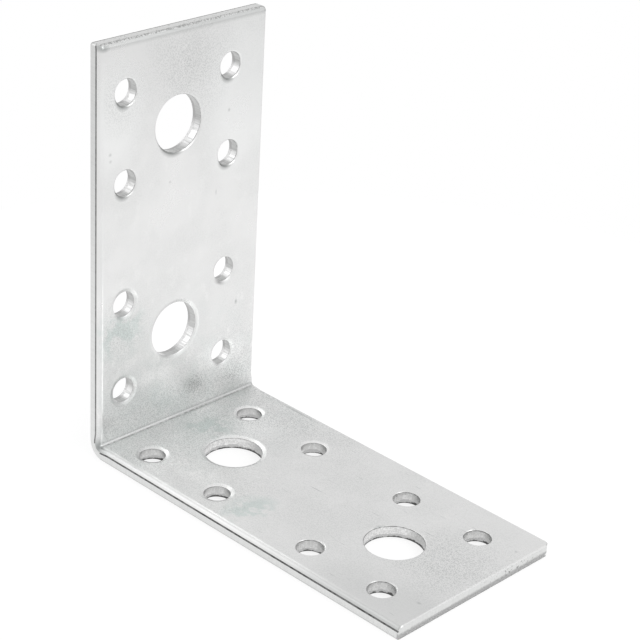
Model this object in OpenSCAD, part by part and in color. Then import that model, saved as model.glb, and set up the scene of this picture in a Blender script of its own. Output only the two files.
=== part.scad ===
// Angle bracket: one strip of zinc-coated steel, cut to length, punched and folded once to a right angle.
// +X runs along the base leg away from the fold, +Y across the strip and +Z up the wall leg.
// The origin is the middle of the bracket's underside.

/* [Strip] */
// Width of the steel strip
strip_w = 39.6; // [37:0.1:60]
// Thickness of the steel
thick = 2.5; // [2:0.1:3]

/* [Legs] */
// Length of the base leg, measured from the back of the wall leg
base_leg = 80; // [76:0.5:120]
// Height of the wall leg, measured from the underside of the base leg
wall_leg = 81.6; // [76:0.1:120]
// Radius inside the fold
fold_r = 0.5; // [0.3:0.1:3]
// How much further the outside of the fold is rounded than the inside radius and the thickness give
fold_ease = 0.5; // [0:0.1:1.5]
// How far the squeezed metal swells out of each side at the fold
fold_swell = 0.3; // [0.1:0.05:0.5]
// Radius of both corners at the wall leg's end
wall_corner_r = 0.6; // [0.3:0.1:3]
// Radius of the base leg's corner on the -Y side
base_near_corner_r = 0.3; // [0.2:0.1:3]
// Radius of the base leg's corner on the +Y side
base_far_corner_r = 1.2; // [0.3:0.1:3]

/* [Hole pattern, the same on both legs] */
// Distance from a leg's end to its outer bolt hole
end_group = 18.3; // [15:0.1:21]
// Distance from the back of the wall leg to the base leg's inner bolt hole
base_group = 20; // [19:0.1:24]
// Height of the wall leg's inner bolt hole above the underside
wall_group = 21.6; // [19:0.1:24]
// Diameter of the bolt holes
bolt_d = 11; // [8:0.5:13]
// Diameter of the screw holes
screw_d = 5; // [4:0.1:6]
// Distance between screw holes across the strip
screw_across = 25; // [21:0.5:27]
// Distance along the leg between the screw holes round its outer bolt hole
end_rows = 17.2; // [15:0.1:20]
// Distance along the leg between the screw holes round its bolt hole at the fold
fold_rows = 18; // [15:0.1:20]
// How far the whole pattern lies from the middle of the strip, towards the rolled side
hole_shift = 1.2; // [0:0.1:2]

/* [Rolled edges, where the cutting tools drew the inner face down] */
// Width of the roll along the strip's -Y side
near_roll_w = 1.1; // [0.9:0.05:1.5]
// Depth of the roll along the strip's -Y side
near_roll_h = 0.7; // [0.3:0.05:0.8]
// Width of the roll along the strip's +Y side
far_roll_w = 0.4; // [0.3:0.05:1]
// Depth of the roll along the strip's +Y side
far_roll_h = 0.15; // [0.1:0.05:0.3]
// Width of the roll at the wall leg's end
wall_roll_w = 1; // [0.8:0.05:1.5]
// Depth of the roll at the wall leg's end
wall_roll_h = 0.6; // [0.3:0.05:0.75]
// Width of the roll at the base leg's end
base_roll_w = 0.4; // [0.35:0.05:1]
// Depth of the roll at the base leg's end
base_roll_h = 0.3; // [0.1:0.05:0.35]
// Width of the roll round the holes near the legs' ends
hole_roll_w = 0.4; // [0.3:0.05:0.8]
// Depth of the roll round the holes near the legs' ends
hole_roll_h = 0.2; // [0.1:0.05:0.3]
// Width of the wider roll round the holes near the fold
dish_w = 0.8; // [0.4:0.05:1.2]
// Depth of the wider roll round the holes near the fold
dish_h = 0.26; // [0.1:0.02:0.4]

/* [Torn edges, where the metal broke away on the outer face] */
// Height of the torn band at the legs' ends and in the holes
tear_h = 0.8; // [0.4:0.05:1]
// How far the torn band slopes back
tear_back = 0.1; // [0.05:0.01:0.2]

/* [Hidden] */
$fn = 96;
inner_at = thick + fold_r;
outer_r = inner_at + fold_ease;
spare = 1;
// The swelling at the fold is a shallow dome as wide as the metal is thick, centred inside the fold
dome_r = (thick * thick + fold_swell * fold_swell) / (2 * fold_swell);
dome_at = inner_at - fold_r * cos(45);

// What a rolled edge lacks, with the cut edge at x = 0 and the sheet's face at y = 0.
// The arc leaves the face smoothly at x = w and reaches the cut edge at the depth h.
// The shape reaches the given room above the face.
module roll_gap(w, h, room = spare) {
    arc_r = (w * w + h * h) / (2 * h);
    difference() {
        translate([-spare, -h]) square([w + spare, h + room]);
        translate([w, -arc_r]) circle(arc_r);
    }
}

// Side view of one leg that stands on the fold: its outer face at x = 0, its end at y = length
module leg_view(length, roll_w, roll_h) {
    difference() {
        polygon([
            [0, outer_r],
            [thick, outer_r],
            [thick, length],
            [tear_h, length],
            [0, length - tear_back]
        ]);
        translate([thick, length]) rotate(-90) roll_gap(roll_w, roll_h);
    }
}

// Side view of the fold, rounded outside about one centre and inside about another
module fold_view() {
    difference() {
        intersection() {
            square(outer_r);
            translate([outer_r, outer_r]) circle(outer_r);
        }
        translate([inner_at, inner_at]) circle(fold_r);
        translate([thick, inner_at]) square(outer_r);
        translate([inner_at, thick]) square(outer_r);
    }
}

// Side view of the whole bracket, its outer corner at the origin
module side_view() {
    leg_view(wall_leg, wall_roll_w, wall_roll_h);
    mirror([1, -1]) leg_view(base_leg, base_roll_w, base_roll_h);
    fold_view();
}

// Everything within the strip's two sides, with the swelling that the fold presses out of each
module strip_room() {
    reach = max(base_leg, wall_leg) + 2 * spare;
    translate([-spare, -strip_w / 2, -spare]) cube([reach, strip_w, reach]);
    for (side = [-1, 1])
        translate([dome_at, side * (strip_w / 2 + fold_swell - dome_r), dome_at]) sphere(dome_r);
}

// The folded strip before its edges are drawn down and its holes punched
module folded_strip() {
    intersection() {
        rotate([90, 0, 0]) linear_extrude(strip_w + 2 * spare, center = true) side_view();
        strip_room();
    }
}

// What a rounded corner of radius r at a leg's end lacks, on the -Y side for side -1 and on the +Y side for 1
module corner_gap(length, side, r) {
    scale([1, side, 1])
        translate([-spare, strip_w / 2 - r, length - r])
            rotate([90, 0, 90]) linear_extrude(thick + 2 * spare) difference() {
                square(r + spare);
                circle(r);
            }
}

// What the rolls along both sides of a leg lack, from the fold to the leg's end
module side_rolls(length) {
    translate([thick, 0, inner_at]) linear_extrude(length) side_roll_gaps(spare);
}

// The rolls of the strip's two sides in cross-section, with its inner face at x = 0
module side_roll_gaps(room) {
    translate([0, -strip_w / 2]) mirror([1, -1]) roll_gap(near_roll_w, near_roll_h, room);
    mirror([0, 1]) translate([0, -strip_w / 2]) mirror([1, -1]) roll_gap(far_roll_w, far_roll_h, room);
}

// The same two rolls, carried round the inside of the fold
module fold_rolls() {
    translate([inner_at, 0, inner_at])
        rotate([-90, 0, 0]) rotate([0, 0, 90]) rotate_extrude(angle = 90)
            translate([fold_r, 0]) mirror([1, 0]) side_roll_gaps(fold_r);
}

// One punched hole through the wall leg: drawn-down rim, straight wall, and torn mouth at the back
module hole(d, roll_w, roll_h) {
    rotate([0, 90, 0]) rotate_extrude() {
        polygon([
            [0, -spare],
            [d / 2 + tear_back * (1 + spare / tear_h), -spare],
            [d / 2, tear_h],
            [d / 2, thick + spare],
            [0, thick + spare]
        ]);
        translate([d / 2, thick]) roll_gap(roll_w, roll_h);
    }
}

// A bolt hole with screw holes at the corners of a rectangle round it
module hole_group(rows, roll_w, roll_h) {
    hole(bolt_d, roll_w, roll_h);
    for (y = [-1, 1], z = [-1, 1])
        translate([0, y * screw_across / 2, z * rows / 2]) hole(screw_d, roll_w, roll_h);
}

module leg_holes(length, inner_group) {
    translate([0, -hole_shift, length - end_group]) hole_group(end_rows, hole_roll_w, hole_roll_h);
    translate([0, -hole_shift, inner_group]) hole_group(fold_rows, dish_w, dish_h);
}

// All that is cut from the wall leg. Mirrored, it serves the base leg
module leg_cuts(length, inner_group, near_corner_r, far_corner_r) {
    corner_gap(length, -1, near_corner_r);
    corner_gap(length, 1, far_corner_r);
    side_rolls(length);
    leg_holes(length, inner_group);
}

module bracket() {
    color("gainsboro") translate([-base_leg / 2, 0, 0]) difference() {
        folded_strip();
        leg_cuts(wall_leg, wall_group, wall_corner_r, wall_corner_r);
        mirror([1, 0, -1]) leg_cuts(base_leg, base_group, base_near_corner_r, base_far_corner_r);
        fold_rolls();
    }
}

bracket();
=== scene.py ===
import math

import bmesh
import bpy
from mathutils import Matrix, Vector, noise


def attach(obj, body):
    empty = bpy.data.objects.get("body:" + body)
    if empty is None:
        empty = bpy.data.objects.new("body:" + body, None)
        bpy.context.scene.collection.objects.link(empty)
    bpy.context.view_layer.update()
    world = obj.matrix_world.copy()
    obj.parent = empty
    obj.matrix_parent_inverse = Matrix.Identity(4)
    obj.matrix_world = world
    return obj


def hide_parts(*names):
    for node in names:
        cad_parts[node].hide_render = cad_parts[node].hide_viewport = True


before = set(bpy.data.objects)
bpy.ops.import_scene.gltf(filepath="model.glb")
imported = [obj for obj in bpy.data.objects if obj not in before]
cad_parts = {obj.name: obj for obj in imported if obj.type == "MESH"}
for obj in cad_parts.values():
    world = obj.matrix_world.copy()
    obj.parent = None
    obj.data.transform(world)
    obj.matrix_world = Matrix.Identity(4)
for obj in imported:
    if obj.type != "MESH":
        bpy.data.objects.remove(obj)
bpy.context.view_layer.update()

# The finishes of the steel. It was zinc-coated in the coil, then slit, sheared, punched and folded, so its
# faces are coated, its cut edges are bare or smeared with a little zinc, and where it tore it is dark.
MM = 0.001
THICK = 2.5 * MM
BASE_LEG = 80 * MM
WALL_LEG = 81.6 * MM
BACK = -BASE_LEG / 2
BASE_END = BACK + BASE_LEG
STRIP_HALF = 19.8 * MM
NEAR_SIDE = -STRIP_HALF
FOLD_IN = 0.5 * MM
FOLD_AT = THICK + FOLD_IN
FOLD_OUT = 3.5 * MM


class Finish:
    """One finish of the steel: a metal shader with what is mixed into its colour, roughness and relief."""

    def __init__(self, name, colour, roughness):
        self.material = bpy.data.materials.new(name)
        self.material.use_nodes = True
        self.tree = self.material.node_tree
        self.shader = self.tree.nodes["Principled BSDF"]
        self.shader.inputs["Metallic"].default_value = 1.0
        self.shader.inputs["Base Color"].default_value = (*colour, 1)
        self.shader.inputs["Roughness"].default_value = roughness
        self.place = self.tree.nodes.new("ShaderNodeTexCoord").outputs["Object"]
        self.colour = colour

    def add(self, kind, inputs=(), **settings):
        node = self.tree.nodes.new("ShaderNode" + kind)
        for key, value in settings.items():
            setattr(node, key, value)
        for key, value in dict(inputs).items():
            if isinstance(value, bpy.types.NodeSocket):
                self.tree.links.new(value, node.inputs[key])
            else:
                node.inputs[key].default_value = value
        return node

    def axes(self):
        """Where a point lies, as X, Y and Z."""
        return self.add("SeparateXYZ", {"Vector": self.place}).outputs

    def cloud(self, scale, detail=2.0, stretch=(1, 1, 1), turn=(0, 0, 0), rough=0.5):
        """Soft noise, from 0 to 1, with scale features to the metre, times the stretch along each axis."""
        spread = self.add("Mapping", {"Vector": self.place, "Scale": stretch, "Rotation": turn}).outputs[0]
        grain = {"Vector": spread, "Scale": scale, "Detail": detail, "Roughness": rough}
        return self.add("TexNoise", grain).outputs["Fac"]

    def ramp(self, value, low, high, start, end):
        """Carries value from the range low to high over to start to end, smoothly."""
        limits = {"Value": value, "From Min": low, "From Max": high, "To Min": start, "To Max": end}
        return self.add("MapRange", limits, interpolation_type="SMOOTHSTEP").outputs["Result"]

    def spot(self, place, size):
        """A soft spot, 1 in its middle and 0 at its rim. Its place and half sizes are in millimetres."""
        outline = {"Vector": self.place, "Location": Vector(place) * MM, "Scale": Vector(size) * MM}
        spread = self.add("Mapping", outline, vector_type="TEXTURE").outputs[0]
        return self.add("TexGradient", {"Vector": spread}, gradient_type="SPHERICAL").outputs["Fac"]

    def mark(self, name):
        """Painted light or shade round the holes, from 0 to 1, as the strip's mesh keeps it."""
        return self.add("Attribute", attribute_name=name).outputs["Fac"]

    def maths(self, how, a, b):
        return self.add("Math", {0: a, 1: b}, operation=how).outputs[0]

    def times(self, a, b):
        return self.maths("MULTIPLY", a, b)

    def most(self, first, *others):
        """The greatest of all the values."""
        for other in others:
            first = self.maths("MAXIMUM", first, other)
        return first

    def shade(self, share, colour, other):
        """The colour where share is 0, the other where it is 1."""
        both = [c if isinstance(c, bpy.types.NodeSocket) else (*c, 1) for c in (colour, other)]
        return self.add("Mix", {0: share, 6: both[0], 7: both[1]}, data_type="RGBA").outputs[2]

    def paint(self, share, colour):
        """Lays a colour over what is painted so far, thinly where share is small."""
        self.colour = self.shade(share, self.colour, colour)

    def dab(self, spots, colour, through=1.0):
        """Paints soft spots in one colour, each with its place, half sizes and share, through a pattern."""
        for place, size, share in spots:
            self.paint(self.times(self.times(self.spot(place, size), share), through), colour)

    def relief(self, height, depth, under=None):
        """Raises the surface by height, from 0 to 1, times depth."""
        inputs = {"Height": height, "Distance": depth, "Strength": 1.0}
        if under is not None:
            inputs["Normal"] = under
        return self.add("Bump", inputs).outputs["Normal"]

    def into(self, socket, value):
        self.tree.links.new(value, self.shader.inputs[socket])


# The zinc on the faces: dull silver grey. Its crystals show as a fine dark speckle, strong by the fold, in a
# wedge at the wall's top and towards the base's end, and hardly there elsewhere. By the fold it is greener.
# The spots are given in millimetres, on the inner face of either leg, with how strong each is.
WALL_FACE = (BACK + THICK) / MM
BASE_FACE = THICK / MM
MOST_SPECKLED = 1.6
LIGHT_ZINC = (0.81, 0.81, 0.807)
DULL_ZINC = (0.79, 0.792, 0.788)
GREENISH_ZINC = (0.77, 0.79, 0.782)
GREEN_ZINC = (0.65, 0.70, 0.685)
WIPED_ZINC = (0.92, 0.92, 0.915)
RIM_HIGHLIGHT_ZINC = (0.98, 0.98, 0.975)
SHADED_ZINC = (0.50, 0.51, 0.505)
CRYSTAL_GREY = (0.42, 0.435, 0.43)
SCRATCH_AND_SHADE_GREY = (0.36, 0.375, 0.37)
STAIN_GREY = (0.30, 0.315, 0.31)
HALO_SHADE_GREY = (0.24, 0.25, 0.245)

zinc = Finish("zinc", (0.79, 0.80, 0.79), 0.3)
at = zinc.axes()
crystals = zinc.cloud(4300, 2.0, rough=0.6)
clouds = zinc.cloud(120, 3.0)
stains = zinc.cloud(210, 3.0, rough=0.65)

# Where the speckle is strong. It fades on the near roll
speckled = zinc.ramp(clouds, 0.4, 0.62, 0.05, 0.25)
for place, size, share in (
    ((WALL_FACE, 0, 0), (26, 60, 20), 2.1),
    ((WALL_FACE, 1, 74), (60, 12, 14), 1.35),
    ((WALL_FACE, -15, 71), (60, 8, 8), 1.0),
    ((WALL_FACE, 15, 79), (60, 7, 8), 0.2),
    ((34, 1, BASE_FACE), (14, 14, 60), 1.5),
    ((-14, 16, BASE_FACE), (16, 8, 60), 0.8),
    ((-10, -12, BASE_FACE), (9, 14, 60), 0.8),
    ((WALL_FACE, 13.8, 6.7), (9, 4.5, 2.6), 0.8),
    ((0, 0, BASE_FACE), (75, 60, 9), 0.5),
    ((WALL_FACE, -15, 25), (9, 9, 9), 1.2),
    ((WALL_FACE, 15, 18), (9, 6, 14), 0.5),
):
    speckled = zinc.maths("ADD", speckled, zinc.times(zinc.spot(place, size), share))
speckled = zinc.maths("MINIMUM", speckled, MOST_SPECKLED)
off_roll = zinc.ramp(at["Y"], NEAR_SIDE + 0.9 * MM, NEAR_SIDE + 1.3 * MM, 0.3, 1.0)
dots = zinc.times(zinc.ramp(crystals, 0.34, 0.6, 1.0, 0.0), zinc.times(speckled, off_roll))

# The ground: cloudy silver grey, greener by the fold and in three patches, and wiped paler in streaks
zinc.colour = zinc.shade(zinc.ramp(clouds, 0.35, 0.7, 0.0, 1.0), LIGHT_ZINC, DULL_ZINC)
by_fold = zinc.spot((-37, 0, 3), (30, 60, 30))
zinc.paint(zinc.times(by_fold, zinc.ramp(stains, 0.40, 0.62, 0.0, 1.0)), GREENISH_ZINC)
green_patches = (
    ((WALL_FACE, -14.5, 25), (9, 7, 7), 1),
    ((-2.5, -13.5, BASE_FACE), (5.5, 7, 9), 1),
    ((-30, 1, BASE_FACE), (7, 7, 9), 1),
)
zinc.dab(green_patches, GREEN_ZINC, zinc.ramp(stains, 0.38, 0.58, 2.0, 0.0))
wiped = zinc.ramp(zinc.cloud(420, 3.0, stretch=(1, 1, 0.6), rough=0.7), 0.52, 0.68, 0.0, 0.8)
wiped = zinc.times(wiped, zinc.ramp(stains, 0.45, 0.65, 1.0, 0.0))
zinc.paint(zinc.times(wiped, zinc.maths("ADD", by_fold, 0.25)), WIPED_ZINC)

# Painted light and shade: patches a little green, each even up to a soft rim, painted light at the wall's
# top and on both sides of the fold, painted shade along the fold and at the base's near corner
for place, size, share, tone in (
    ((WALL_FACE, 15, 67), (2.4, 13, 20), 0.55, 0.92),
    ((WALL_FACE, -16, 68), (2.4, 8, 12), 0.45, 0.92),
    ((WALL_FACE, -15, 11), (2.4, 6, 3), 0.3, 0.63),
    ((-37, -12, 3), (11, 16, 9), 0.28, 0.63),
    ((-25, 8.5, BASE_FACE), (6, 6.5, 9), 0.4, 0.95),
    ((WALL_FACE, 11, 12.5), (2.4, 8, 4), 0.45, 0.93),
    ((WALL_FACE, -3, 9.5), (2.4, 5, 3), 0.3, 0.93),
    ((WALL_FACE, 15, 3.5), (2.4, 6, 3), 0.35, 0.6),
    ((WALL_FACE, 1, 4.5), (2.4, 6, 2.5), 0.3, 0.6),
    ((40, -17, BASE_FACE), (26, 10, 9), 0.35, 0.60),
):
    evenly = zinc.maths("MINIMUM", zinc.times(zinc.spot(place, size), 2.0), 1.0)
    zinc.paint(zinc.times(evenly, share), (tone * 0.99, tone, tone * 0.995))
pale_patches = (
    ((-19, -11.5, BASE_FACE), (7, 4, 9), 1),
    ((WALL_FACE, -5.5, 13), (9, 6, 3.5), 1),
    ((WALL_FACE, 9, 12), (9, 6, 2.5), 1),
)
zinc.dab(pale_patches, WIPED_ZINC, zinc.ramp(stains, 0.40, 0.55, 1.3, 0.2))
zinc.paint(zinc.times(dots, 0.40), CRYSTAL_GREY)

# Painted shade: darker on the roll at the wall's top, on the near roll towards the base's end, and in the
# inside of the fold
on_top_roll = zinc.ramp(at["Z"], WALL_LEG - 1.7 * MM, WALL_LEG - 0.2 * MM, 0.0, 0.75)
on_near_roll = zinc.ramp(at["Y"], NEAR_SIDE + 0.2 * MM, NEAR_SIDE + 0.9 * MM, 1.0, 0.0)
on_near_roll = zinc.times(on_near_roll, zinc.ramp(at["X"], 0.0, 30 * MM, 0.0, 0.7))
on_near_roll = zinc.times(on_near_roll, zinc.ramp(at["Z"], 0.5 * MM, MM, 0.0, 1.0))
by_wall = zinc.ramp(at["X"], BACK + FOLD_AT - 0.1 * MM, BACK + FOLD_AT + 0.4 * MM, 0.56, 0.0)
by_base = zinc.ramp(at["Z"], FOLD_AT - 0.1 * MM, FOLD_AT + 0.4 * MM, 0.56, 0.0)
in_fold = zinc.maths("MINIMUM", by_wall, by_base)
zinc.paint(zinc.most(on_top_roll, on_near_roll, in_fold), SHADED_ZINC)

# Stains above the fold. Then painted shade over places that caught too much light: the near end of the fold,
# the wall's near top corner, faintly over the base's near corner, the rim of a bolt hole and the middle of
# the crease; among them are small nicks. Scratches run along the base
dark_stains = (
    ((WALL_FACE, 4.2, 8.2), (9, 3.2, 2.4), 1.0),
    ((WALL_FACE, 13.8, 6.7), (9, 4.5, 2.4), 0.6),
)
zinc.dab(dark_stains, STAIN_GREY, zinc.ramp(crystals, 0.36, 0.56, 0.9, 0.05))
nicks_and_painted_shade = (
    ((-37.4, -19.8, 2.6), (2.2, 1.3, 2.2), 1.1),
    ((-37.8, -18.7, 80.9), (9, 1.4, 0.9), 0.9),
    ((40, -14, BASE_FACE), (24, 16, 9), 0.08),
    ((WALL_FACE, 14.7, 22.7), (9, 0.4, 0.7), 0.8),
    ((37.3, -12, BASE_FACE), (0.6, 0.4, 9), 0.6),
    ((37.9, 12.8, BASE_FACE), (0.4, 0.4, 9), 0.5),
    ((WALL_FACE, -17.3, 61), (9, 0.45, 0.45), 0.5),
    ((WALL_FACE, -17.2, 59.7), (9, 0.45, 0.4), 0.4),
    ((WALL_FACE, 11.2, 63.2), (9, 0.4, 0.5), 0.5),
    ((WALL_FACE, 8.5, 47.4), (9, 0.3, 0.8), 0.35),
    ((WALL_FACE, -3.1, 52.3), (9, 0.4, 0.4), 0.35),
    ((-23, 18.9, BASE_FACE), (7, 0.4, 9), 0.6),
    ((16.2, 0.4, 2.34), (1.8, 1.8, 0.17), 1.6),
    ((-37.1, 6, 2.6), (0.75, 9.5, 0.5), 0.65),
)
zinc.dab(nicks_and_painted_shade, SCRATCH_AND_SHADE_GREY)
lengthwise = zinc.cloud(1, 2.0, stretch=(220, 2600, 2600), turn=(0, 0, math.radians(-43)))
on_base = zinc.ramp(at["Z"], THICK + 0.1 * MM, THICK + 0.2 * MM, 0.5, 0.0)
zinc.paint(zinc.times(zinc.ramp(lengthwise, 0.70, 0.78, 0.0, 1.0), on_base), SCRATCH_AND_SHADE_GREY)

# Painted shade: a dark soft halo under each of the wall's holes, a little to their near side and stronger at
# the wall's top. The holes are in groups, one at each leg's end and one by the fold: a bolt hole, with four
# screw holes at the corners of a rectangle round it. All lie a little nearer the -Y side
BOLT_R = 5.5 * MM
SCREW_R = 2.5 * MM
SCREW_ACROSS = 25 * MM
END_ROWS = 17.2 * MM
FOLD_ROWS = 18 * MM
END_GROUP = 18.3 * MM
WALL_GROUP = 21.6 * MM
BASE_GROUP = 20 * MM
HOLE_SHIFT = -1.2 * MM


def hole_group(rows):
    """The five holes of a group, each with its place across the strip and along the leg, and its radius."""
    holes = [(0, 0, BOLT_R)]
    for along in (rows / 2, -rows / 2):
        for across in (-SCREW_ACROSS / 2, SCREW_ACROSS / 2):
            holes.append((across, along, SCREW_R))
    return holes


for rows, height, strength in ((END_ROWS, WALL_LEG - END_GROUP, 0.85), (FOLD_ROWS, WALL_GROUP, 0.2)):
    for across, up, radius in hole_group(rows):
        reach = (0.6 * radius + 0.7 * MM) / MM
        off = 0.4 * radius + 0.4 * MM
        under = (WALL_FACE, (HOLE_SHIFT + across - 0.35 * off) / MM, (height + up - 0.94 * off) / MM)
        zinc.dab([(under, (9, reach, reach), strength * reach)], HALO_SHADE_GREY)

# Painted highlights on the dished rims, which are also made a little smoother
rim_highlight = zinc.mark("rim_highlight")
zinc.paint(zinc.times(rim_highlight, 0.8), RIM_HIGHLIGHT_ZINC)
zinc.into("Base Color", zinc.colour)
roughness = zinc.maths("ADD", zinc.ramp(clouds, 0.3, 0.7, 0.27, 0.33), zinc.times(dots, 0.06))
zinc.into("Roughness", zinc.maths("SUBTRACT", roughness, zinc.times(rim_highlight, 0.06)))
ripple = zinc.relief(zinc.cloud(26, 1.0), 0.10 * MM)
zinc.into("Normal", zinc.relief(zinc.times(crystals, speckled), 0.006 * MM, ripple))

# Sheared steel: the strip's sides and ends and the holes, cut clean by a knife, the shears or a punch. It is
# bare, with painted shade and painted light in the holes, and shows the lines that the tool drew through it.
BORE_PAINTED_LIGHT = (0.98, 0.975, 0.97)
MOTTLE_GREY = (0.40, 0.40, 0.40)
NICK_GREY = (0.34, 0.345, 0.34)
BORE_SHADE_GREY = (0.30, 0.305, 0.30)
BORE_LIT = (0.97, 0.97, 0.97)
BORE_SHADED = (0.56, 0.565, 0.56)
BORE_LINES = (0.42, 0.425, 0.42)
LINE_DARK = (0.12, 0.12, 0.12)


def bare_steel(name, bright, dark, side_lines, base_lines, shine):
    """Steel with lines through it, fainter on the sides and ends, and in the base's holes.

    The shine is how much the base's holes are painted lighter, as painted light, and how mottled they are.
    """
    steel = Finish(name, bright, 0.36)
    at = steel.axes()

    # Where on the strip a point lies
    on_wall = steel.ramp(at["Z"], THICK, FOLD_OUT, 0.0, 1.0)
    off_middle = steel.maths("ABSOLUTE", at["Y"], 0.0)
    on_side = steel.ramp(off_middle, STRIP_HALF - 0.8 * MM, STRIP_HALF - 0.4 * MM, 0.0, 1.0)
    base_end = steel.ramp(at["X"], BASE_END - 0.5 * MM, BASE_END - 0.3 * MM, 0.0, 1.0)
    wall_end = steel.ramp(at["Z"], WALL_LEG - 0.5 * MM, WALL_LEG - 0.3 * MM, 0.0, 1.0)
    outside = steel.most(on_side, base_end, wall_end)
    in_hole = steel.maths("SUBTRACT", 1.0, outside)
    in_wall_hole = steel.times(in_hole, on_wall)
    in_base_hole = steel.times(in_hole, steel.maths("SUBTRACT", 1.0, on_wall))

    # Lines the way the tool went: along X through the wall and along Z through the base
    through_wall = steel.cloud(1, 3.0, stretch=(160, 3000, 3000))
    through_base = steel.cloud(1, 3.0, stretch=(3000, 3000, 160))
    lines = steel.add("Mix", {0: on_wall, 2: through_base, 3: through_wall}, data_type="FLOAT").outputs[0]
    drawn = steel.ramp(outside, 0.0, 1.0, 1.0, side_lines)
    lined = steel.times(steel.ramp(lines, 0.32, 0.62, 1.0, 0.0), drawn)
    lined = steel.times(lined, steel.ramp(in_base_hole, 0.0, 1.0, 1.0, base_lines))
    smears = steel.ramp(steel.cloud(1400, 4.0, rough=0.75), 0.42, 0.60, 0.7, 0.0)
    steel.colour = steel.shade(steel.most(lined, steel.times(smears, in_base_hole)), bright, dark)

    # The base's holes are painted lighter, as painted light, and mottled, and both ends are nicked
    steel.paint(steel.times(in_base_hole, shine), BORE_PAINTED_LIGHT)
    mottled = steel.ramp(steel.cloud(2600, 3.0, rough=0.7), 0.40, 0.60, 0.8 * shine, 0.0)
    steel.paint(steel.times(mottled, in_base_hole), MOTTLE_GREY)
    nicks = steel.cloud(1900, 1.0)
    nicked = steel.most(steel.times(wall_end, 0.4), steel.spot((40, 9.5, 1.5), (4, 9, 4)))
    steel.paint(steel.times(steel.ramp(nicks, 0.58, 0.66, 0.0, 1.0), nicked), NICK_GREY)

    # Painted shade in the holes where the mesh marks it, and the wall's holes painted bright elsewhere, as
    # painted light
    bore_shade = steel.mark("bore_shade")
    steel.paint(steel.times(bore_shade, 0.55), BORE_SHADE_GREY)
    bore = steel.shade(bore_shade, BORE_LIT, BORE_SHADED)
    bore = steel.shade(steel.ramp(lines, 0.32, 0.56, 0.55, 0.0), bore, BORE_LINES)
    steel.paint(in_wall_hole, bore)

    # Dark lines: ragged under the roll at the wall's top, along its back edge, down to the tear at the
    # base's end, and along the foot of the sides
    ragged_x = steel.maths("ADD", at["X"], steel.times(steel.cloud(2400, 2.0), 0.6 * MM))
    under_roll = steel.ramp(ragged_x, BACK + 2.02 * MM, BACK + 2.18 * MM, 0.0, 0.5)
    under_roll = steel.times(under_roll, steel.ramp(steel.cloud(3200, 1.0), 0.40, 0.60, 0.15, 1.0))
    at_back = steel.ramp(at["X"], BACK + 0.05 * MM, BACK + 0.2 * MM, 0.7, 0.0)
    on_top = steel.times(steel.most(under_roll, at_back), wall_end)
    ragged_z = steel.maths("ADD", at["Z"], steel.times(nicks, -0.5 * MM))
    to_tear = steel.times(steel.ramp(ragged_z, 0.55 * MM, 1.15 * MM, 0.48, 0.0), base_end)
    at_foot = steel.times(steel.ramp(at["Z"], 0.05 * MM, 0.35 * MM, 0.3, 0.0), outside)
    steel.paint(steel.most(on_top, to_tear, at_foot), LINE_DARK)
    steel.into("Base Color", steel.colour)
    dents = steel.relief(nicks, 0.03 * MM)
    steel.into("Normal", steel.relief(steel.times(lines, drawn), 0.03 * MM, dents))
    return steel


# The base's screw holes get a darker finish with stronger lines: the darker colour is painted shade, for the
# little light inside them
SIDE_LINES = 0.15
sheared = bare_steel("sheared edge", (0.74, 0.745, 0.74), (0.52, 0.525, 0.52), SIDE_LINES, 0.35, shine=0.55)
punched = bare_steel("punched hole", (0.70, 0.705, 0.70), (0.40, 0.405, 0.40), SIDE_LINES, 0.9, shine=0.38)

# Torn steel: a grey, crumbly break along the outer face, where the metal gave way before the tool was
# through. It is darkest at the foot of the base's holes, reaching higher where the holes' painted shade
# lies, and in the wall's holes it is painted light, or painted shade where the mesh marks it.
torn = Finish("torn edge", (0.4, 0.4, 0.4), 0.55)
at = torn.axes()
crumbs = torn.cloud(4200, 3.0, rough=0.7)
bore_shade = torn.mark("bore_shade")
at_end = torn.ramp(at["X"], BASE_END - MM, BASE_END - 0.5 * MM, 0.0, 1.0)
in_wall = torn.ramp(at["Z"], THICK, FOLD_OUT, 0.0, 1.0)
light_break = torn.shade(torn.ramp(crumbs, 0.35, 0.65, 0.0, 1.0), (0.34, 0.34, 0.34), (0.58, 0.58, 0.58))
foot = torn.maths("ADD", at["Z"], torn.times(torn.cloud(1100, 4.0, rough=0.65), -1.2 * MM))
foot = torn.maths("ADD", foot, torn.times(bore_shade, -0.25 * MM))
foot = torn.ramp(foot, -0.45 * MM, -0.25 * MM, 0.0, 1.0)
dark_break = torn.shade(foot, (0.10, 0.10, 0.10), (0.58, 0.58, 0.58))
wall_tear_light_and_shade = torn.shade(bore_shade, (0.90, 0.90, 0.90), (0.52, 0.52, 0.52))
wall_tear_light_and_shade = torn.shade(torn.ramp(crumbs, 0.35, 0.60, 0.4, 0.0), wall_tear_light_and_shade, (0.42, 0.42, 0.42))
torn.into("Base Color", torn.shade(in_wall, torn.shade(at_end, dark_break, light_break), wall_tear_light_and_shade))
torn.into("Normal", torn.relief(crumbs, 0.05 * MM))

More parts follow.
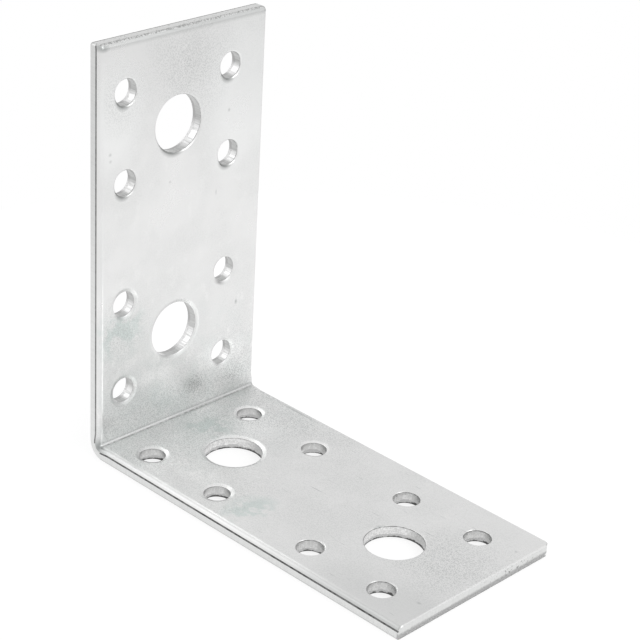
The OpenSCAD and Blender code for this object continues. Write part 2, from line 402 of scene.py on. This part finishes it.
# Split zinc: the thin dark lines where the coating cracked, in the groove along the near side, along the
# crease and at the holes' rims. The groove is darkest, most so low down, and the rims of the base's holes
# are grey. The crease and the rims of the wall's holes are hardly darker than the zinc.
split = Finish("split zinc", (0.16, 0.16, 0.16), 0.5)
at = split.axes()
cracks = split.ramp(split.cloud(1500, 2.0), 0.35, 0.65, 0.0, 1.0)
groove = split.shade(cracks, (0.10, 0.10, 0.10), (0.22, 0.22, 0.22))
up_wall = split.ramp(at["Z"], THICK + 0.1 * MM, 2 * THICK, 0.0, 0.3)
groove = split.shade(up_wall, groove, (0.5, 0.5, 0.5))
rim = split.shade(cracks, (0.20, 0.20, 0.20), (0.46, 0.46, 0.46))
crease = split.shade(cracks, (0.42, 0.42, 0.42), (0.70, 0.70, 0.70))
past_fold = split.ramp(at["X"], BACK + FOLD_AT + 0.2 * MM, BACK + FOLD_AT + 0.6 * MM, 0.0, 1.0)
off_side = split.ramp(at["Y"], NEAR_SIDE + 0.2 * MM, NEAR_SIDE + 0.6 * MM, 0.0, 1.0)
split.into("Base Color", split.shade(off_side, groove, split.shade(past_fold, crease, rim)))
ZINC, SHEARED, PUNCHED, TORN, SPLIT = range(5)
FINISHES = (zinc.material, sheared.material, punched.material, torn.material, split.material)

# The strip: cold-rolled steel, slit 39.6 mm wide from 2.5 mm sheet. The slitting knife drew its -Y side down
# from the inner face and left a fine groove under the roll. Its section is drawn just above the fold, with
# the outer face at the wall leg's back, then pulled up, turned through the fold and pulled along the base.
X, Z = 0, 2
CLOSE = 0.003 * MM
HAIR = 0.001 * MM
NEAR_ROLL = (1.1 * MM, 0.7 * MM)
FAR_ROLL = (0.4 * MM, 0.15 * MM)
NEAR_ROLL_STEPS = 7
FAR_ROLL_STEPS = 4
GROOVE_TOP = THICK - NEAR_ROLL[1]
GROOVE_BED = GROOVE_TOP - 0.2 * MM
GROOVE_FOOT = GROOVE_BED - 0.2 * MM
GROOVE_DEPTH = 0.15 * MM
SIDE_CUTS = (0.25 * MM, 0.7 * MM, 1.15 * MM, GROOVE_FOOT, GROOVE_BED)
BURR = 0.07 * MM


def roll_radius(width, depth):
    """The radius of a rolled edge, which leaves the face smoothly and drops by its depth over its width."""
    return (width**2 + depth**2) / (2 * depth)


def roll_depth(width, depth, distance):
    """How far a rolled edge has dropped, at a distance from where it was cut."""
    if distance >= width:
        return 0.0
    radius = roll_radius(width, depth)
    return radius - math.sqrt(radius**2 - (width - distance) ** 2)


def pick(test, kind="VERT"):
    """Selects the vertices, or the faces, that lie where the test says."""
    bpy.ops.mesh.select_mode(type=kind)
    bpy.ops.mesh.select_all(action="DESELECT")
    mesh = bmesh.from_edit_mesh(bpy.context.object.data)
    if kind == "VERT":
        for v in mesh.verts:
            v.select_set(test(v.co))
    else:
        for f in mesh.faces:
            f.select_set(test(f.calc_center_median(), f.normal))
    mesh.select_flush_mode()
    bmesh.update_edit_mesh(bpy.context.object.data)


def near(a, b):
    return abs(a - b) < CLOSE


def square_on(normal, axis):
    """Whether a face looks straight along an axis, either way."""
    return abs(normal[axis]) > 0.9


def cut_across(point, normal):
    bpy.ops.mesh.select_all(action="SELECT")
    bpy.ops.mesh.bisect(plane_co=point, plane_no=normal)


bpy.ops.object.select_all(action="DESELECT")
middle = (BACK + THICK / 2, 0, FOLD_AT)
bpy.ops.mesh.primitive_plane_add(size=1, location=middle)
bracket = bpy.context.object
bracket.name = "bracket_strip"
for material in FINISHES:
    bracket.data.materials.append(material)
bpy.ops.object.transform_apply(location=True)
bpy.ops.object.mode_set(mode="EDIT")
bpy.ops.transform.resize(value=(THICK, 2 * STRIP_HALF, 1), center_override=middle)

roll_steps = []
for side, (width, depth), steps in ((-1, NEAR_ROLL, NEAR_ROLL_STEPS), (1, FAR_ROLL, FAR_ROLL_STEPS)):
    radius = roll_radius(width, depth)
    full_turn = math.asin(width / radius)
    for i in range(steps + 1):
        distance = width - radius * math.sin(full_turn * i / steps)
        roll_steps.append((side * (STRIP_HALF - distance), roll_depth(width, depth, distance)))
for y, depth in roll_steps:
    if abs(y) < STRIP_HALF - HAIR:
        cut_across((0, y, 0), (0, 1, 0))
for x in SIDE_CUTS:
    cut_across((BACK + x, 0, 0), (1, 0, 0))
bpy.ops.mesh.select_all(action="SELECT")
bpy.ops.mesh.dissolve_faces()
for y, depth in roll_steps:
    pick(lambda p: near(p.x, BACK + THICK) and near(p.y, y))
    bpy.ops.transform.translate(value=(-depth, 0, 0))
pick(lambda p: near(p.x, BACK + GROOVE_BED) and p.y < 0)
bpy.ops.transform.translate(value=(0, GROOVE_DEPTH, 0))
for side in (-1, 1):
    pick(lambda p: near(p.x, BACK) and p.y * side > 0)
    bpy.ops.transform.translate(value=(0, -side * BURR, 0))

# The two legs: each is pulled out of the fold in steps. At its end the shears drew the inner face down
# and the corners are rounded, so the last steps grow thinner and narrower. The base's near corner is almost
# sharp. The steps are in millimetres, on from the fold and back from the end.
LEG_STEPS = (0.25, 0.5, 1, 1.5, 2, 2.7)
END_STEPS = (1.2, 1, 0.8, 0.6, 0.43, 0.28, 0.16, 0.07, 0)
WALL_END_ROLL = (1 * MM, 0.6 * MM)
BASE_END_ROLL = (0.4 * MM, 0.3 * MM)
WALL_CORNERS = (0.6 * MM, 0.6 * MM)
BASE_CORNERS = (0.3 * MM, 1.2 * MM)
FOLD_STEPS = 18


def pull_leg(length, axis, start, roll, corners):
    """Pulls the selected section out to the leg's end. Start is where the leg's length is measured from."""
    along = Vector((axis == X, 0, axis == Z))
    reached, thin, inward = FOLD_AT, 1.0, [0.0, 0.0]
    for place in [FOLD_AT + s * MM for s in LEG_STEPS] + [length - s * MM for s in END_STEPS]:
        bpy.ops.mesh.extrude_region_move(TRANSFORM_OT_translate={"value": along * (place - reached)})
        to_end = length - place
        now_thin = 1 - roll_depth(*roll, to_end) / THICK
        scale = (now_thin / thin, 1, 1) if axis == Z else (1, 1, now_thin / thin)
        bpy.ops.transform.resize(value=scale, center_override=(BACK, 0, 0))
        for i, side in enumerate((-1, 1)):
            step = roll_depth(corners[i], corners[i], to_end) - inward[i]
            if step > 0:
                pick(lambda p: near(p[axis], start + place) and p.y * side > 0)
                bpy.ops.transform.translate(value=(0, -side * step, 0))
                inward[i] += step
        pick(lambda p, n: near(p[axis], start + place) and square_on(n, axis), "FACE")
        reached, thin = place, now_thin


pick(lambda p, n: True, "FACE")
pull_leg(WALL_LEG, Z, 0.0, WALL_END_ROLL, WALL_CORNERS)
pick(lambda p, n: near(p.z, FOLD_AT) and square_on(n, Z), "FACE")
fold_centre = (BACK + FOLD_AT, 0, FOLD_AT)
bpy.ops.mesh.spin(steps=FOLD_STEPS, angle=math.pi / 2, center=fold_centre, axis=(0, 1, 0))
pick(lambda p, n: near(p.x, BACK + FOLD_AT) and square_on(n, X) and p.z < THICK, "FACE")
pull_leg(BASE_LEG, X, BACK, BASE_END_ROLL, BASE_CORNERS)
bpy.ops.mesh.select_all(action="SELECT")
bpy.ops.mesh.normals_make_consistent(inside=False)
bpy.ops.object.mode_set(mode="OBJECT")

# The sides of the strip are bare from the roll down, and the groove under the near roll is a dark line. So
# are the crease, where the fold meets the base, and the middle of the near corner at the base's end.
SIDE_ROOM = 0.3 * MM
CREASE_RISE = 0.07 * MM
CORNER_STEP = 0.17 * MM
CORNER_LINE = (0.5 * MM, 1.9 * MM)


def height_over_back(p):
    """How far into the sheet a point lies, from its outer face, on either leg or in the fold."""
    u, w = p.x - BACK, p.z
    if u < FOLD_AT and w < FOLD_AT:
        return FOLD_AT - math.hypot(FOLD_AT - u, FOLD_AT - w)
    return u if w >= FOLD_AT else w


for face in bracket.data.polygons:
    points = [bracket.data.vertices[i].co for i in face.vertices]
    heights = [height_over_back(p) for p in points]
    in_bend = face.center.x < BACK + FOLD_AT and face.center.z < FOLD_AT
    on_side = min(abs(p.y) for p in points) > STRIP_HALF - SIDE_ROOM
    low = max(p.z for p in points) < THICK + CREASE_RISE
    in_crease = low and max(p.x for p in points) < BACK + FOLD_AT + HAIR
    at_corner = min(p.x for p in points) > BASE_END - CORNER_STEP and face.normal.y < -0.3
    if at_corner and CORNER_LINE[0] < face.center.z < CORNER_LINE[1]:
        face.material_index = SPLIT
    elif on_side and face.center.y < 0:
        if max(heights) < GROOVE_FOOT + CLOSE:
            face.material_index = SHEARED
        elif max(heights) < GROOVE_TOP + CLOSE:
            face.material_index = SHEARED if in_bend else SPLIT
    elif on_side and max(heights) < THICK - FAR_ROLL[1] + CLOSE:
        face.material_index = SHEARED
    elif in_crease and min(heights) > THICK - CLOSE:
        face.material_index = SPLIT

# The fold: its outside is rounded wider than its inside and the thickness give, since the sheet thinned
# there, so the sheet is pressed in along rays from the inside's centre. The squeezed metal has nowhere to
# go but sideways: it swells 0.3 mm out of both edges, in a shallow dome that fades out a short way in.
SWELL = 0.3 * MM
SWELL_IN = 1.6 * MM
SWELL_FADE = 1 * MM
DOME_R = roll_radius(THICK, SWELL)
dome_at = FOLD_AT - FOLD_IN * math.cos(math.pi / 4)
dome = Vector((BACK + dome_at, dome_at))
offset = Vector((FOLD_AT, FOLD_AT)) - Vector((FOLD_OUT, FOLD_OUT))


def off_outside(distance):
    """How far the outside of the fold has left a leg's outer face, at a distance from the corner."""
    return FOLD_OUT - math.sqrt(FOLD_OUT**2 - (FOLD_OUT - distance) ** 2)


for v in bracket.data.vertices:
    u, w = v.co.x - BACK, v.co.z
    if u < FOLD_AT and w < FOLD_AT:
        ray = Vector((u - FOLD_AT, w - FOLD_AT))
        share = (ray.length - FOLD_IN) / THICK
        ray.normalize()
        lean = ray.dot(offset)
        to_outside = math.sqrt(lean**2 - offset.length_squared + FOLD_OUT**2) - lean
        inward = ray * (share * (FOLD_AT - to_outside))
        v.co.x -= inward.x
        v.co.z -= inward.y
    elif w < FOLD_OUT and u < THICK + HAIR:
        v.co.x += (1 - u / THICK) * off_outside(w)
    elif u < FOLD_OUT and w < THICK + HAIR:
        v.co.z += (1 - w / THICK) * off_outside(u)
    from_dome = (Vector((v.co.x, v.co.z)) - dome).length
    from_start = abs(v.co.y) - (STRIP_HALF - SWELL_IN)
    if from_dome < THICK and from_start > 0:
        share = min(1, from_start / SWELL_FADE)
        v.co.y += math.copysign(share * (SWELL - from_dome**2 / (2 * DOME_R)), v.co.y)

# Both ends: the shears cut cleanly part of the way and the rest tore. The torn band slopes back a little to
# the outer face, and the line between the two is ragged. At the wall's top the tear is smeared bright.
TEAR_H = 0.8 * MM
TEAR_BACK = 0.1 * MM
TEAR_CUTS = 90
TEAR_ROOM = 0.4 * MM
CUT_TOP = 2.3 * MM
END_RAGGED = 0.25 * MM
STRAIGHT_AT_SIDES = 1.3 * MM
COARSE = 1.9 * MM
FINE = 0.5 * MM


def ragged(x, y, z, most):
    """A small uneven step, the same each time for the same place."""
    coarse = noise.noise(Vector((x, y, z)) / COARSE)
    fine = noise.noise(Vector((z, x, y)) / FINE)
    return most * (0.75 * coarse + 0.6 * fine)


bpy.ops.object.mode_set(mode="EDIT")
for across, along, start, end in ((X, Z, BACK, WALL_LEG), (Z, X, 0.0, BASE_END)):
    pick(lambda p, n: near(p[along], end) and n[along] > 0.9, "FACE")
    line = Vector((0, 0, 0))
    line[across] = start + TEAR_H
    facing = Vector((0, 0, 0))
    facing[across] = 1
    bpy.ops.mesh.bisect(plane_co=line, plane_no=facing)
    pick(lambda p: near(p[along], end) and near(p[across], start + TEAR_H))
    bpy.ops.mesh.subdivide(number_cuts=TEAR_CUTS)
    mesh = bmesh.from_edit_mesh(bracket.data)
    for v in mesh.verts:
        if near(v.co[along], end):
            depth = v.co[across] - start
            if near(depth, TEAR_H) and abs(v.co.y) < STRIP_HALF - STRAIGHT_AT_SIDES:
                v.co[across] += ragged(v.co.x, v.co.y, v.co.z, END_RAGGED)
            elif depth < TEAR_H - CLOSE:
                v.co[along] -= TEAR_BACK * (1 - depth / TEAR_H)
    for f in mesh.faces:
        if f.normal[along] > 0.6 and f.calc_center_median()[along] > end - 3 * TEAR_BACK:
            lowest = min(v.co[across] for v in f.verts) - start
            highest = max(v.co[across] for v in f.verts) - start
            if lowest < TEAR_BACK and highest < TEAR_H + TEAR_ROOM:
                f.material_index = TORN if along == X else SHEARED
            elif lowest > TEAR_H - TEAR_ROOM and highest < CUT_TOP:
                f.material_index = SHEARED
    bmesh.update_edit_mesh(bracket.data)
bpy.ops.object.mode_set(mode="OBJECT")

# The holes: each is punched from the inner face. The punch draws its rim down, shears two thirds of the
# way and tears the rest out of the outer face. Round the fold's holes the sheet is dished a little wider,
# with an almost straight slope. A punch is the lost metal itself, in rings from the outer face up.
HOLE_ROLL = (0.4 * MM, 0.2 * MM)
DISH = (0.8 * MM, 0.26 * MM)
DISH_CURVE = 1.25
LIP = 0.1 * MM
SPARE = 1 * MM
HOLE_RAGGED = 0.4 * MM
ROLL_RINGS = 8
BOLT_SIDES = 112
SCREW_SIDES = 64


def punch_rings(radius, roll):
    """The radius and height of each ring of a punch, from below the sheet to above it.

    The last rings are a little wider than the roll, so that it runs out through the sheet's face.
    """
    width, depth = roll
    arc = roll_radius(width, depth)
    full_turn = math.asin(width / arc)
    rings = [
        (radius + TEAR_BACK * (1 + SPARE / TEAR_H), -SPARE),
        (radius, TEAR_H),
        (radius, THICK - depth - LIP),
        (radius, THICK - depth - HAIR),
    ]
    for i in range(1, ROLL_RINGS):
        left = 1 - i / ROLL_RINGS
        if roll == DISH:
            rings.append((radius + width * i / ROLL_RINGS, THICK - depth * left**DISH_CURVE))
        else:
            turn = full_turn * left
            rings.append((radius + width - arc * math.sin(turn), THICK - arc * (1 - math.cos(turn))))
    mouth = radius + width * 1.04
    return rings + [(mouth, THICK + 4 * HAIR), (mouth, THICK + SPARE)]


def punch(radius, roll, sides, seed, inside):
    """What one hole lacks, standing on the outer face at the origin."""
    rings = punch_rings(radius, roll)
    bpy.ops.mesh.primitive_circle_add(vertices=sides, radius=rings[0][0], fill_type="NGON")
    bpy.ops.object.mode_set(mode="EDIT")
    bpy.ops.transform.translate(value=(0, 0, rings[0][1]))
    for (r0, z0), (r1, z1) in zip(rings, rings[1:]):
        bpy.ops.mesh.extrude_region_move(TRANSFORM_OT_translate={"value": (0, 0, z1 - z0)})
        bpy.ops.transform.resize(value=(r1 / r0, r1 / r0, 1), center_override=(0, 0, z1))
    pick(lambda p: near(p.z, TEAR_H))
    mesh = bmesh.from_edit_mesh(bpy.context.object.data)
    for v in mesh.verts:
        if v.select:
            v.co.z += ragged(v.co.x, v.co.y, seed * MM, HOLE_RAGGED)
    bmesh.update_edit_mesh(bpy.context.object.data)
    bpy.ops.object.mode_set(mode="OBJECT")
    tool = bpy.context.object
    for material in FINISHES:
        tool.data.materials.append(material)
    rim = THICK - roll[1]
    split_to = rim if roll == DISH else rim + 0.3 * roll[1]
    for face in tool.data.polygons:
        lowest = min(tool.data.vertices[i].co.z for i in face.vertices)
        highest = max(tool.data.vertices[i].co.z for i in face.vertices)
        if lowest < -SPARE / 2:
            face.material_index = TORN
        elif highest < rim - LIP + HAIR:
            face.material_index = inside
        elif highest < split_to:
            face.material_index = SPLIT
    return tool


punches, punched_at = [], []
for group, (rows, roll, on_wall, on_base) in enumerate((
    (END_ROWS, HOLE_ROLL, WALL_LEG - END_GROUP, BASE_END - END_GROUP),
    (FOLD_ROWS, DISH, WALL_GROUP, BACK + BASE_GROUP),
)):
    for hole, (across, along, radius) in enumerate(hole_group(rows)):
        sides = SCREW_SIDES if hole else BOLT_SIDES
        for wall in (True, False):
            # The base's screw holes take the darker finish, which is painted shade
            inside = PUNCHED if hole and not wall else SHEARED
            tool = punch(radius, roll, sides, 10 * group + 2 * hole + wall, inside)
            if wall:
                tool.rotation_euler = (0, math.pi / 2, 0)
                tool.location = (BACK, HOLE_SHIFT + across, on_wall + along)
            else:
                tool.location = (on_base + along, HOLE_SHIFT + across, 0)
            punches.append(tool)
            punched_at.append((wall, tool.location.copy(), radius, roll))
bpy.ops.object.select_all(action="DESELECT")
for tool in punches:
    tool.select_set(True)
bpy.context.view_layer.objects.active = punches[0]
bpy.ops.object.join()
punches = bpy.context.object
bpy.ops.object.transform_apply(location=True, rotation=True, scale=True)
bpy.ops.object.select_all(action="DESELECT")
bracket.select_set(True)
bpy.context.view_layer.objects.active = bracket
holes = bracket.modifiers.new("holes", "BOOLEAN")
holes.operation = "DIFFERENCE"
holes.solver = "EXACT"
holes.object = punches
bpy.ops.object.modifier_apply(modifier=holes.name)
bpy.data.objects.remove(punches)

# Painted light and shade round the holes: painted shade on the right of each hole and at the foot of the
# wall's holes, and painted highlights on the rims where the sheet is dished, most on the far side of the
# base's holes. Both are kept in the mesh, from 0 to 1, for the finishes to read.
RIGHT = Vector((0.73, 0.69, 0))
RIM_HIGHLIGHT_FADE = 0.7
WALL_RIM_HIGHLIGHT = 0.15


def clamp(value):
    return max(0, min(1, value))


bore_shade = bracket.data.attributes.new("bore_shade", "FLOAT", "POINT")
rim_highlight = bracket.data.attributes.new("rim_highlight", "FLOAT", "POINT")
for v in bracket.data.vertices:
    for wall, centre, radius, roll in punched_at:
        if wall != (v.co.z > FOLD_AT):
            continue
        out = v.co - centre
        out[X if wall else Z] = 0
        width = roll[0]
        to_rim = radius + width - out.length
        if to_rim > -10 * HAIR:
            turn = out.normalized()
            if wall:
                share = max((turn.z + 0.4) / 0.35, (-turn.z - 0.86) / 0.11)
            else:
                share = (turn.dot(RIGHT) - 0.35) / 0.4
            bore_shade.data[v.index].value = clamp(share)
            if roll == DISH:
                facing = WALL_RIM_HIGHLIGHT if wall else max(0, 0.4 + 0.6 * turn.y)
                rim_highlight.data[v.index].value = facing * clamp(to_rim / (RIM_HIGHLIGHT_FADE * width))

# Curved parts are shaded smooth, and the flat faces stay flat. The strip stands for the whole bracket, which
# is one piece of steel.
bpy.ops.object.shade_smooth_by_angle(angle=math.radians(32))
flat = bracket.modifiers.new("flat faces stay flat", "WEIGHTED_NORMAL")
flat.keep_sharp = True
flat.weight = 100
bpy.ops.object.modifier_apply(modifier=flat.name)
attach(bracket, "root")
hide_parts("bracket")

# The floor: a pale round of card. It shows white to the eye and in the steel, and keeps the shadow, because
# the card glows for those rays only and throws no light on the steel.
FLOOR_R = 0.15
FLOOR_GLOW = 0.75
bpy.ops.object.select_all(action="DESELECT")
bpy.ops.mesh.primitive_circle_add(vertices=96, radius=FLOOR_R, fill_type="NGON")
floor = bpy.context.object
floor.name = "floor"


def dull(name, colour):
    """Card or felt: neither metal nor glossy."""
    finish = Finish(name, colour, 0.9)
    finish.shader.inputs["Metallic"].default_value = 0.0
    finish.shader.inputs["Specular IOR Level"].default_value = 0.0
    return finish


card = dull("pale card", (0.3, 0.3, 0.3))
seen = card.add("LightPath").outputs
seen_by = card.most(seen["Is Camera Ray"], seen["Is Glossy Ray"], seen["Is Transmission Ray"])
glow = card.add("Emission", {"Strength": card.times(seen_by, FLOOR_GLOW)})
both = card.add("AddShader", {0: card.shader.outputs[0], 1: glow.outputs[0]})
card.tree.links.new(both.outputs[0], card.tree.nodes["Material Output"].inputs["Surface"])
floor.data.materials.append(card.material)

# A board covered in dark felt stands beyond the far side, out of the picture. The camera doesn't see it, but
# the steel mirrors it in thin dark lines along the rims and the crease.
BOARD_LONG = 0.42
BOARD_HIGH = 0.07
BOARD_AT = (0.12, 0.44, 0.045)
bpy.ops.object.select_all(action="DESELECT")
bpy.ops.mesh.primitive_plane_add(size=1)
board = bpy.context.object
board.name = "dark_board"
bpy.ops.object.mode_set(mode="EDIT")
bpy.ops.transform.resize(value=(BOARD_LONG, BOARD_HIGH, 1), center_override=(0, 0, 0))
bpy.ops.object.mode_set(mode="OBJECT")
upright = Matrix.Rotation(math.radians(90), 4, "X")
swung = Matrix.Rotation(math.radians(-15), 4, "Z")
board.data.transform(Matrix.Translation(BOARD_AT) @ swung @ upright)
felt = dull("dark felt", (0.03, 0.03, 0.03))
board.data.materials.append(felt.material)
board.visible_camera = False

# The light: three soft boxes, before the wall leg, high over the far side and behind the wall, in a pale
# room. The camera sees the room as white.
ROOM_LEVEL = 0.89
for name, place, (width, height), level in (
    ("soft box before", Vector((0.59, 0.22, 0.41)), (0.34, 0.6), 1.55),
    ("soft box above", Vector((0.32, 0.30, 0.61)), (0.3, 0.3), 0.45),
    ("soft box behind", Vector((-0.47, -0.34, 0.46)), (0.45, 0.45), 0.43),
):
    lamp = bpy.data.lights.new(name, "AREA")
    lamp.shape = "RECTANGLE"
    lamp.size = width
    lamp.size_y = height
    lamp.energy = level * math.pi * width * height
    soft_box = bpy.data.objects.new(name, lamp)
    soft_box.location = place
    soft_box.rotation_euler = (-place).to_track_quat("-Z", "Y").to_euler()
    bpy.context.scene.collection.objects.link(soft_box)
room = bpy.data.worlds.new("pale room")
bpy.context.scene.world = room
room.use_nodes = True
nodes, links = room.node_tree.nodes, room.node_tree.links
rays = nodes.new("ShaderNodeLightPath")
strength = nodes.new("ShaderNodeMix")
strength.data_type = "FLOAT"
strength.inputs["A"].default_value = ROOM_LEVEL
strength.inputs["B"].default_value = 1.0
links.new(rays.outputs["Is Camera Ray"], strength.inputs["Factor"])
links.new(strength.outputs["Result"], nodes["Background"].inputs["Strength"])
nodes["Background"].inputs["Color"].default_value = (1, 1, 1, 1)

# The camera: a long lens, turned 43 degrees round the bracket and looking 26 degrees down on it, a little
# tilted. The holes and outlines in the picture give its place and angles.
SENSOR = 36
LENS = 109.907
EYE = Vector((211.87, -224.54, 188.31)) * MM
ROUND = math.radians(43.422)
DOWN = math.radians(26.039)
TILT = math.radians(3.292)
view = bpy.data.cameras.new("camera")
view.sensor_width = SENSOR
view.lens = LENS
camera = bpy.data.objects.new("camera", view)
bpy.context.scene.collection.objects.link(camera)
camera.matrix_world = (
    Matrix.Translation(EYE)
    @ Matrix.Rotation(ROUND, 4, "Z")
    @ Matrix.Rotation(math.pi / 2 - DOWN, 4, "X")
    @ Matrix.Rotation(TILT, 4, "Z")
)
bpy.context.scene.camera = camera
bpy.context.scene.view_settings.view_transform = "Standard"
